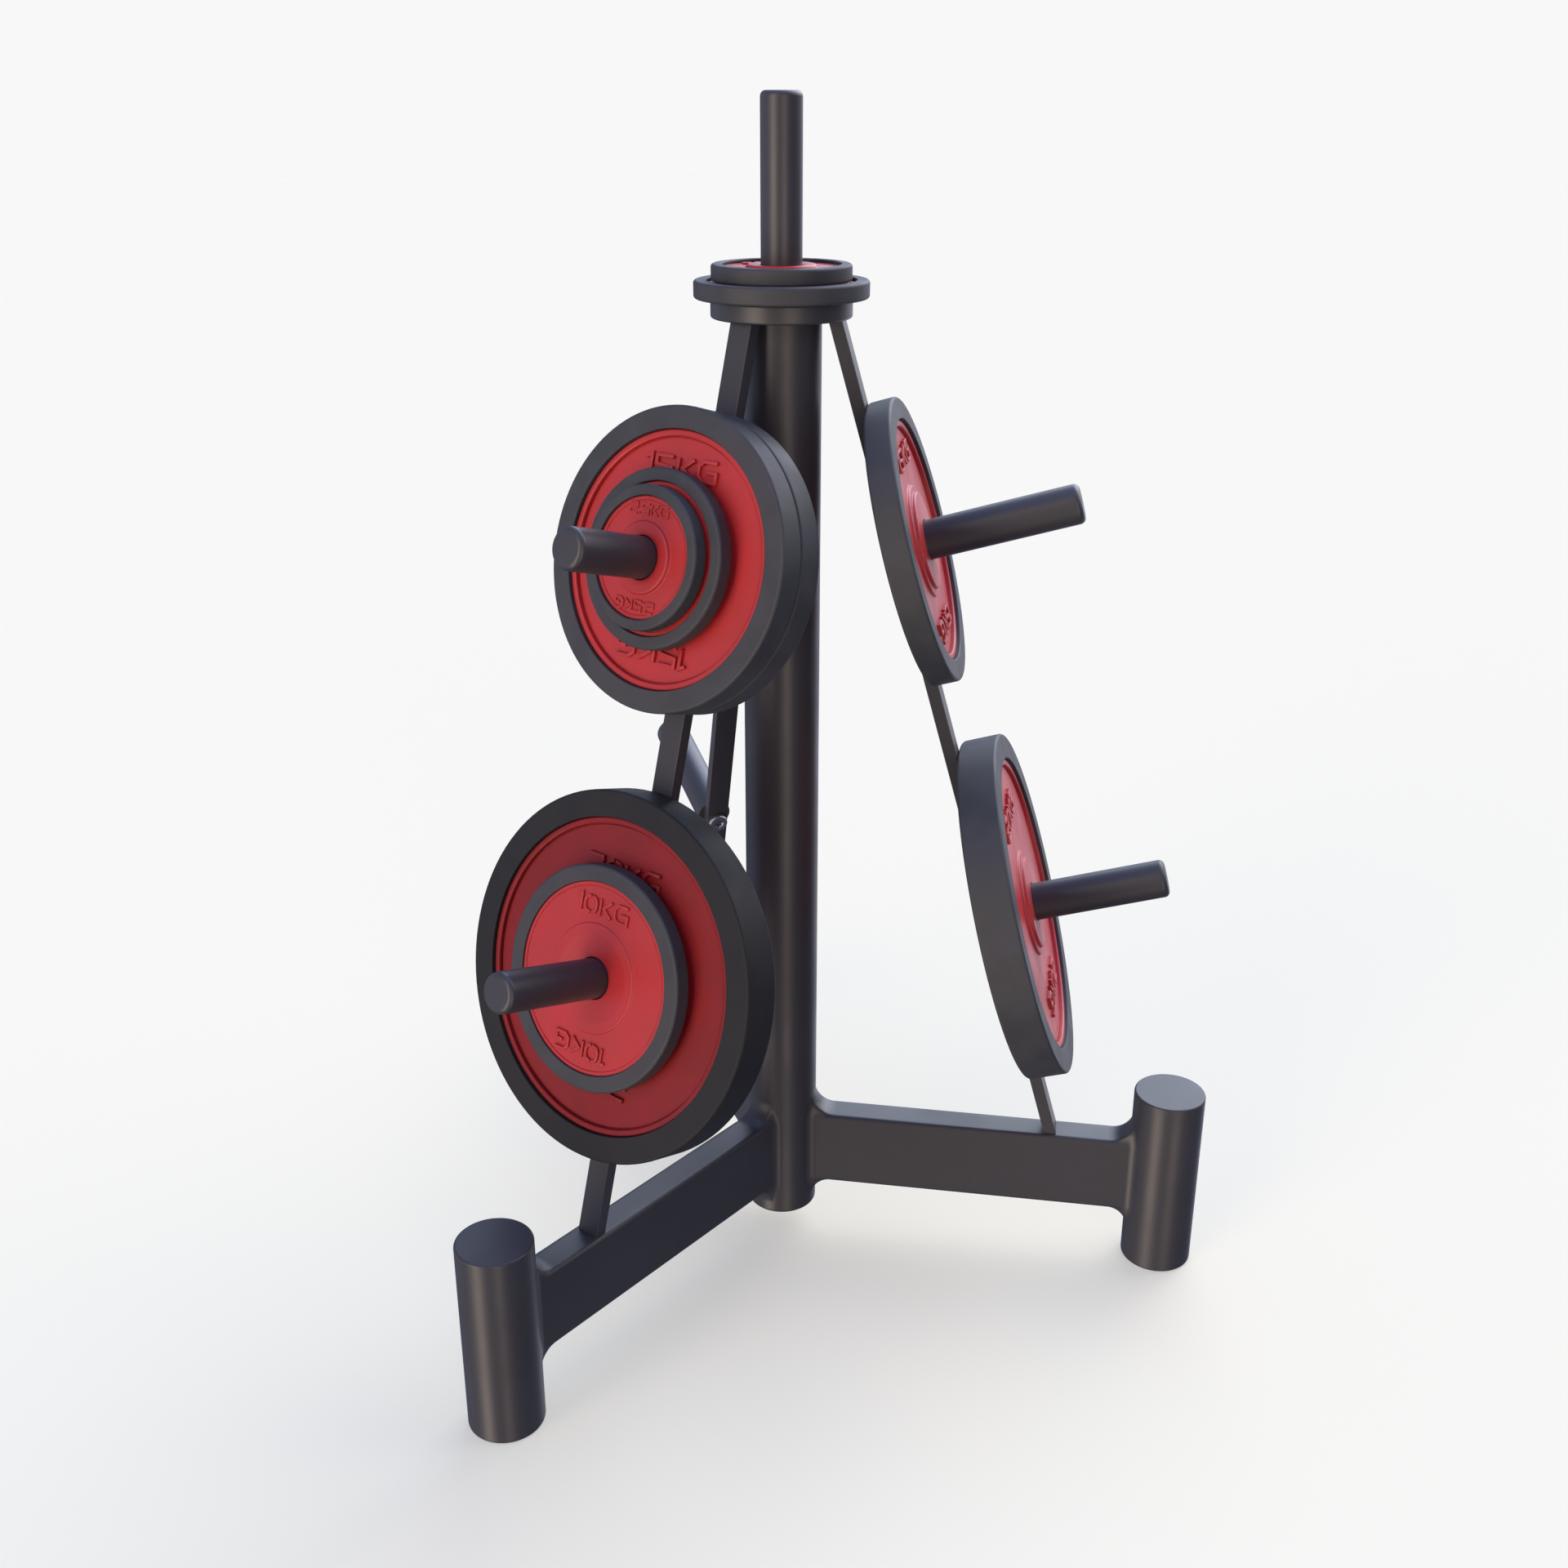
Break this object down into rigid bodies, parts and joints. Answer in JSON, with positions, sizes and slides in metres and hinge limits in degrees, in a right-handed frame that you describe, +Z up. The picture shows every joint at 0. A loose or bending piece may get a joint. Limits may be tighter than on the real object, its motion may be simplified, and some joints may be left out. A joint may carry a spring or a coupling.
{
  "type": "weight plate tree",
  "caption": "Three-legged stand for barbell plates: central column, sloped stays with upward-tilted pegs and a peg on top, loaded with rubber-rimmed plates that lift off.",
  "frame": {"origin": "on the floor, in the middle of the rectangle that the loaded stand covers", "axes": "+Z up along the column; +Y from the column towards the rear leg; the other two legs point to the front left (-X) and the front right (+X)"},
  "size_m": [1.0216, 0.949, 1.523],
  "materials": {
    "powder_coat": "satin",
    "cap_paint": "satin",
    "bolt_steel": "satin",
    "rim_rubber": "matte",
    "core_enamel": "satin"
  },
  "bodies": {
    "frame": {"column_tube": "powder_coat", "column_bottom_cap": "cap_paint", "top_collar": "powder_coat", "base_leg_left": "powder_coat", "foot_post_left": "powder_coat", "foot_top_cap_left": "cap_paint", "foot_base_cap_left": "cap_paint", "stay_left": "powder_coat", "base_leg_right": "powder_coat", "foot_post_right": "powder_coat", "foot_top_cap_right": "cap_paint", "foot_base_cap_right": "cap_paint", "stay_right": "powder_coat", "base_leg_rear": "powder_coat", "foot_post_rear": "powder_coat", "foot_top_cap_rear": "cap_paint", "foot_base_cap_rear": "cap_paint", "stay_rear": "powder_coat", "peg_left_upper_tube": "powder_coat", "peg_left_upper_end_cap": "cap_paint", "peg_left_upper_bolt": "bolt_steel", "peg_left_lower_tube": "powder_coat", "peg_left_lower_end_cap": "cap_paint", "peg_left_lower_bolt": "bolt_steel", "peg_right_upper_tube": "powder_coat", "peg_right_upper_end_cap": "cap_paint", "peg_right_upper_bolt": "bolt_steel", "peg_right_lower_tube": "powder_coat", "peg_right_lower_end_cap": "cap_paint", "peg_right_lower_bolt": "bolt_steel", "peg_rear_upper_tube": "powder_coat", "peg_rear_upper_end_cap": "cap_paint", "peg_rear_upper_bolt": "bolt_steel", "peg_rear_lower_tube": "powder_coat", "peg_rear_lower_end_cap": "cap_paint", "peg_rear_lower_bolt": "bolt_steel", "peg_top_tube": "powder_coat", "peg_top_end_cap": "cap_paint", "peg_top_bolt": "bolt_steel"},
    "plate_15kg_left_upper_inner": {"plate_15kg_left_upper_inner_rim": "rim_rubber", "plate_15kg_left_upper_inner_core": "core_enamel"},
    "plate_15kg_left_upper_outer": {"plate_15kg_left_upper_outer_rim": "rim_rubber", "plate_15kg_left_upper_outer_core": "core_enamel"},
    "plate_5kg_left_upper": {"plate_5kg_left_upper_rim": "rim_rubber", "plate_5kg_left_upper_core": "core_enamel"},
    "plate_2_5kg_left_upper": {"plate_2_5kg_left_upper_rim": "rim_rubber", "plate_2_5kg_left_upper_core": "core_enamel"},
    "plate_20kg_left_lower": {"plate_20kg_left_lower_rim": "rim_rubber", "plate_20kg_left_lower_core": "core_enamel"},
    "plate_10kg_left_lower": {"plate_10kg_left_lower_rim": "rim_rubber", "plate_10kg_left_lower_core": "core_enamel"},
    "plate_15kg_right_upper": {"plate_15kg_right_upper_rim": "rim_rubber", "plate_15kg_right_upper_core": "core_enamel"},
    "plate_20kg_right_lower": {"plate_20kg_right_lower_rim": "rim_rubber", "plate_20kg_right_lower_core": "core_enamel"},
    "plate_5kg_top": {"plate_5kg_top_rim": "rim_rubber", "plate_5kg_top_core": "core_enamel"},
    "plate_2_5kg_top": {"plate_2_5kg_top_rim": "rim_rubber", "plate_2_5kg_top_core": "core_enamel"}
  },
  "joints": [
    {"name": "plate_15kg_left_upper_inner_slide", "type": "slide", "parent": "frame", "child": "plate_15kg_left_upper_inner", "axis": [-0.8324, -0.4806, 0.276], "range_m": [0, 0.242]},
    {"name": "plate_15kg_left_upper_outer_slide", "type": "slide", "parent": "plate_15kg_left_upper_inner", "child": "plate_15kg_left_upper_outer", "axis": [-0.8324, -0.4806, 0.276], "range_m": [0, 0.208]},
    {"name": "plate_5kg_left_upper_slide", "type": "slide", "parent": "plate_15kg_left_upper_outer", "child": "plate_5kg_left_upper", "axis": [-0.8324, -0.4806, 0.276], "range_m": [0, 0.176]},
    {"name": "plate_2_5kg_left_upper_slide", "type": "slide", "parent": "plate_5kg_left_upper", "child": "plate_2_5kg_left_upper", "axis": [-0.8324, -0.4806, 0.276], "range_m": [0, 0.157]},
    {"name": "plate_20kg_left_lower_slide", "type": "slide", "parent": "frame", "child": "plate_20kg_left_lower", "axis": [-0.8324, -0.4806, 0.276], "range_m": [0, 0.242]},
    {"name": "plate_10kg_left_lower_slide", "type": "slide", "parent": "plate_20kg_left_lower", "child": "plate_10kg_left_lower", "axis": [-0.8324, -0.4806, 0.276], "range_m": [0, 0.193]},
    {"name": "plate_15kg_right_upper_slide", "type": "slide", "parent": "frame", "child": "plate_15kg_right_upper", "axis": [0.8324, -0.4806, 0.276], "range_m": [0, 0.242]},
    {"name": "plate_20kg_right_lower_slide", "type": "slide", "parent": "frame", "child": "plate_20kg_right_lower", "axis": [0.8324, -0.4806, 0.276], "range_m": [0, 0.242]},
    {"name": "plate_5kg_top_slide", "type": "slide", "parent": "frame", "child": "plate_5kg_top", "axis": [0, 0, 1], "range_m": [0, 0.247]},
    {"name": "plate_2_5kg_top_slide", "type": "slide", "parent": "plate_5kg_top", "child": "plate_2_5kg_top", "axis": [0, 0, 1], "range_m": [0, 0.227]}
  ]
}
